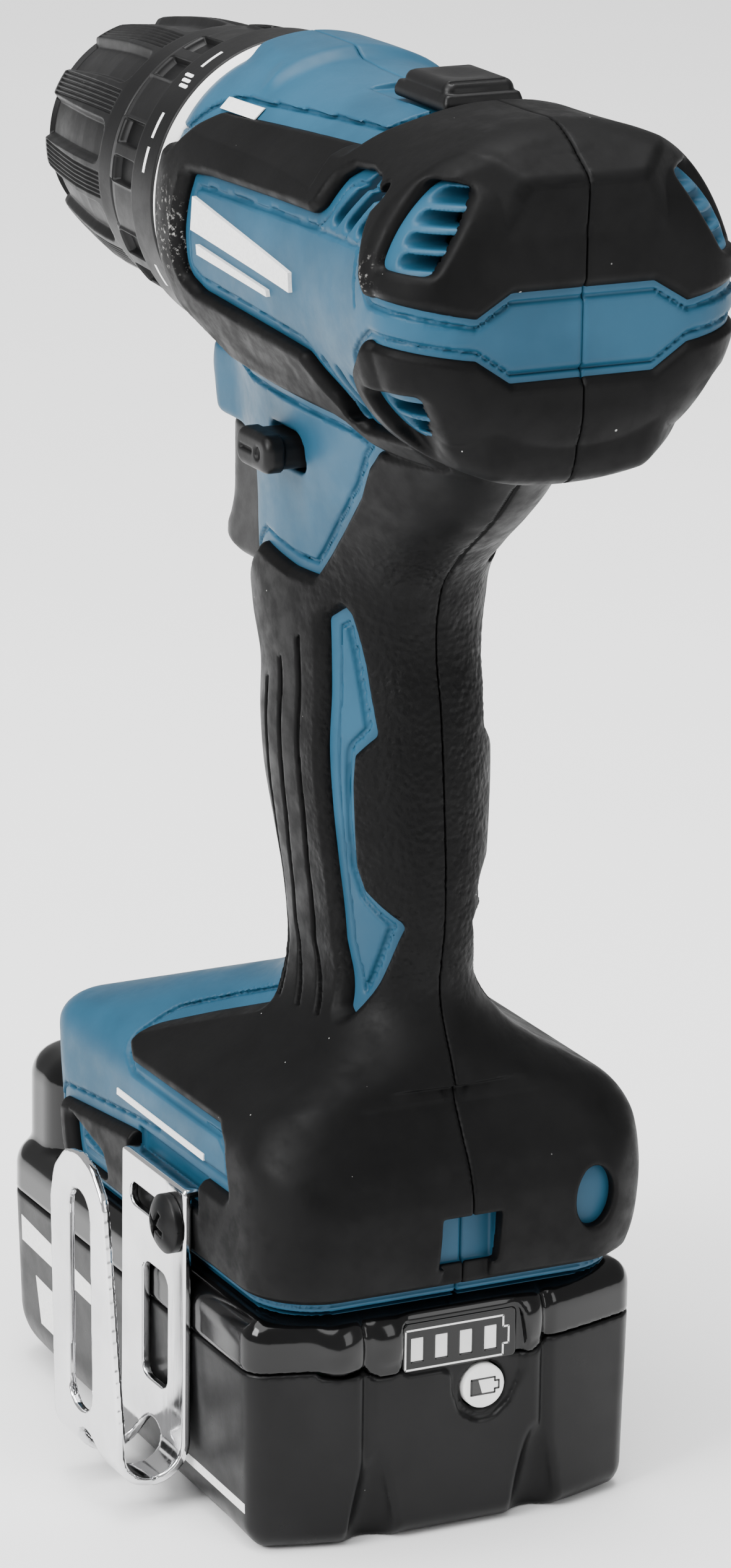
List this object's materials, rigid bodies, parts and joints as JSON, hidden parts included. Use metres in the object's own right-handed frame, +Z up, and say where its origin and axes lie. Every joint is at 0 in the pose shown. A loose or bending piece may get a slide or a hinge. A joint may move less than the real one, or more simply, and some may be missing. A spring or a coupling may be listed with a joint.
{
  "type": "cordless drill driver",
  "caption": "Cordless drill driver with a keyless chuck, torque ring, planetary gearbox, trigger grip, belt clip and a slide-on battery that it stands on.",
  "frame": {"origin": "centre of the battery's resting face, on the tool's middle plane", "axes": "+X along the spindle towards the chuck, +Y towards the belt clip's side, +Z up"},
  "size_m": [0.1731, 0.0914, 0.2603],
  "materials": {
    "blue_plastic": "satin moulded",
    "grip_rubber": "soft matt",
    "black_plastic": "satin moulded",
    "black_gloss": "polished",
    "chrome_steel": "polished",
    "steel": "ground",
    "dark_steel": "blackened",
    "cast_aluminium": "as cast",
    "copper": "lacquered wire",
    "circuit_board": "solder mask",
    "pale_plastic": "moulded",
    "green_wrap": "shrink wrap",
    "lamp_lens": "clear cover"
  },
  "bodies": {
    "tool": {"housing_left": "blue_plastic", "housing_right": "blue_plastic", "overmould_left": "grip_rubber", "overmould_right": "grip_rubber", "housing_screws": "dark_steel", "stator": "steel", "windings": "copper", "front_motor_bearing": "steel", "rear_motor_bearing": "steel", "sensor_board": "circuit_board", "motor_bracket": "cast_aluminium", "gear_case": "cast_aluminium", "ring_gear_1": "dark_steel", "ring_gear_2": "dark_steel", "spindle_bearing": "steel", "clutch_pins": "steel", "clutch_washer": "steel", "marker_ring": "pale_plastic", "clutch_spring": "steel", "trigger_spring": "steel", "switch_module": "black_plastic", "work_light": "lamp_lens", "controller_board": "circuit_board", "terminal_block": "black_plastic", "belt_clip": "chrome_steel", "clip_screw": "dark_steel"},
    "output": {"carrier_2": "dark_steel", "spindle": "steel", "chuck_body": "dark_steel", "chuck_screw": "dark_steel"},
    "motor_rotor": {"rotor": "dark_steel", "motor_shaft": "steel", "fan": "black_plastic"},
    "stage_1_carrier": {"carrier_1": "dark_steel"},
    "planet_1_a": {"planet_1_a": "steel"},
    "planet_1_b": {"planet_1_b": "steel"},
    "planet_1_c": {"planet_1_c": "steel"},
    "planet_2_a": {"planet_2_a": "steel"},
    "planet_2_b": {"planet_2_b": "steel"},
    "planet_2_c": {"planet_2_c": "steel"},
    "sleeve": {"chuck_sleeve": "black_plastic", "jaw_nut": "steel"},
    "jaw_1": {"jaw_1": "steel"},
    "jaw_2": {"jaw_2": "steel"},
    "jaw_3": {"jaw_3": "steel"},
    "torque_ring": {"torque_ring": "black_plastic"},
    "clutch_nut": {"clutch_nut": "dark_steel"},
    "trigger": {"trigger": "black_plastic"},
    "direction_lever": {"direction_lever": "black_plastic"},
    "speed_selector": {"speed_selector": "black_plastic", "shift_fork": "steel"},
    "battery": {"battery_lower_case": "black_plastic", "battery_upper_case": "black_gloss", "battery_cells": "green_wrap", "cell_holder": "pale_plastic", "battery_board": "circuit_board", "indicator_panel": "black_plastic", "release_spring": "steel"},
    "release_button": {"release_button": "black_plastic"},
    "check_button": {"check_button": "pale_plastic"}
  },
  "joints": [
    {"name": "spindle_spin", "type": "hinge", "parent": "tool", "child": "output", "pos_m": [0, 0, 0.2284], "axis": [1, 0, 0], "continuous": true},
    {"name": "rotor_spin", "type": "hinge", "parent": "tool", "child": "motor_rotor", "pos_m": [0, 0, 0.2284], "axis": [1, 0, 0], "continuous": true},
    {"name": "stage_1_spin", "type": "hinge", "parent": "tool", "child": "stage_1_carrier", "pos_m": [0, 0, 0.2284], "axis": [1, 0, 0], "continuous": true},
    {"name": "planet_1_a_spin", "type": "hinge", "parent": "stage_1_carrier", "child": "planet_1_a", "pos_m": [0, 0.01125, 0.2284], "axis": [1, 0, 0], "continuous": true},
    {"name": "planet_2_a_spin", "type": "hinge", "parent": "output", "child": "planet_2_a", "pos_m": [0, 0.012, 0.2284], "axis": [1, 0, 0], "continuous": true},
    {"name": "planet_1_b_spin", "type": "hinge", "parent": "stage_1_carrier", "child": "planet_1_b", "pos_m": [0, -0.00562, 0.23814], "axis": [1, 0, 0], "continuous": true},
    {"name": "planet_2_b_spin", "type": "hinge", "parent": "output", "child": "planet_2_b", "pos_m": [0, -0.006, 0.23879], "axis": [1, 0, 0], "continuous": true},
    {"name": "planet_1_c_spin", "type": "hinge", "parent": "stage_1_carrier", "child": "planet_1_c", "pos_m": [0, -0.00562, 0.21866], "axis": [1, 0, 0], "continuous": true},
    {"name": "planet_2_c_spin", "type": "hinge", "parent": "output", "child": "planet_2_c", "pos_m": [0, -0.006, 0.21801], "axis": [1, 0, 0], "continuous": true},
    {"name": "sleeve_turn", "type": "hinge", "parent": "output", "child": "sleeve", "pos_m": [0, 0, 0.2284], "axis": [1, 0, 0], "range_deg": [0, 3240]},
    {"name": "jaw_1_slide", "type": "slide", "parent": "output", "child": "jaw_1", "axis": [0.9511, 0, -0.309], "range_m": [0, 0.01781]},
    {"name": "jaw_2_slide", "type": "slide", "parent": "output", "child": "jaw_2", "axis": [0.9511, 0.2676, 0.1545], "range_m": [0, 0.01781]},
    {"name": "jaw_3_slide", "type": "slide", "parent": "output", "child": "jaw_3", "axis": [0.9511, -0.2676, 0.1545], "range_m": [0, 0.01781]},
    {"name": "torque_ring_turn", "type": "hinge", "parent": "tool", "child": "torque_ring", "pos_m": [0, 0, 0.2284], "axis": [1, 0, 0], "range_deg": [0, 290]},
    {"name": "clutch_nut_slide", "type": "slide", "parent": "torque_ring", "child": "clutch_nut", "axis": [-1, 0, 0], "range_m": [0, 0.00601], "deforming": ["clutch_spring"]},
    {"name": "trigger_pull", "type": "slide", "parent": "tool", "child": "trigger", "axis": [-1, 0, 0], "range_m": [0, 0.006], "stiffness_N_per_m": 600, "springref_m": -0.002, "deforming": ["trigger_spring"]},
    {"name": "direction_lever_slide", "type": "slide", "parent": "tool", "child": "direction_lever", "axis": [0, -1, 0], "range_m": [0, 0.007]},
    {"name": "speed_selector_slide", "type": "slide", "parent": "tool", "child": "speed_selector", "axis": [1, 0, 0], "range_m": [0, 0.009]},
    {"name": "battery_slide", "type": "slide", "parent": "tool", "child": "battery", "axis": [1, 0, 0], "range_m": [0, 0.08]},
    {"name": "release_button_press", "type": "slide", "parent": "battery", "child": "release_button", "axis": [0, 0, -1], "range_m": [0, 0.0025], "stiffness_N_per_m": 800, "springref_m": -0.002, "deforming": ["release_spring"]},
    {"name": "check_button_press", "type": "slide", "parent": "battery", "child": "check_button", "axis": [1, 0, 0], "range_m": [0, 0.0008], "stiffness_N_per_m": 500, "springref_m": -0.001}
  ],
  "couplings": [
    {"joint": "rotor_spin", "follows": "spindle_spin", "ratio": 20},
    {"joint": "stage_1_spin", "follows": "spindle_spin", "ratio": 4},
    {"joint": "planet_1_a_spin", "follows": "spindle_spin", "ratio": -10.667},
    {"joint": "planet_2_a_spin", "follows": "spindle_spin", "ratio": -3},
    {"joint": "planet_1_b_spin", "follows": "spindle_spin", "ratio": -10.667},
    {"joint": "planet_2_b_spin", "follows": "spindle_spin", "ratio": -3},
    {"joint": "planet_1_c_spin", "follows": "spindle_spin", "ratio": -10.667},
    {"joint": "planet_2_c_spin", "follows": "spindle_spin", "ratio": -3},
    {"joint": "jaw_1_slide", "follows": "sleeve_turn", "m_per_rad": 0.00031477},
    {"joint": "jaw_2_slide", "follows": "sleeve_turn", "m_per_rad": 0.00031477},
    {"joint": "jaw_3_slide", "follows": "sleeve_turn", "m_per_rad": 0.00031477},
    {"joint": "clutch_nut_slide", "follows": "torque_ring_turn", "m_per_rad": 0.0011854}
  ]
}
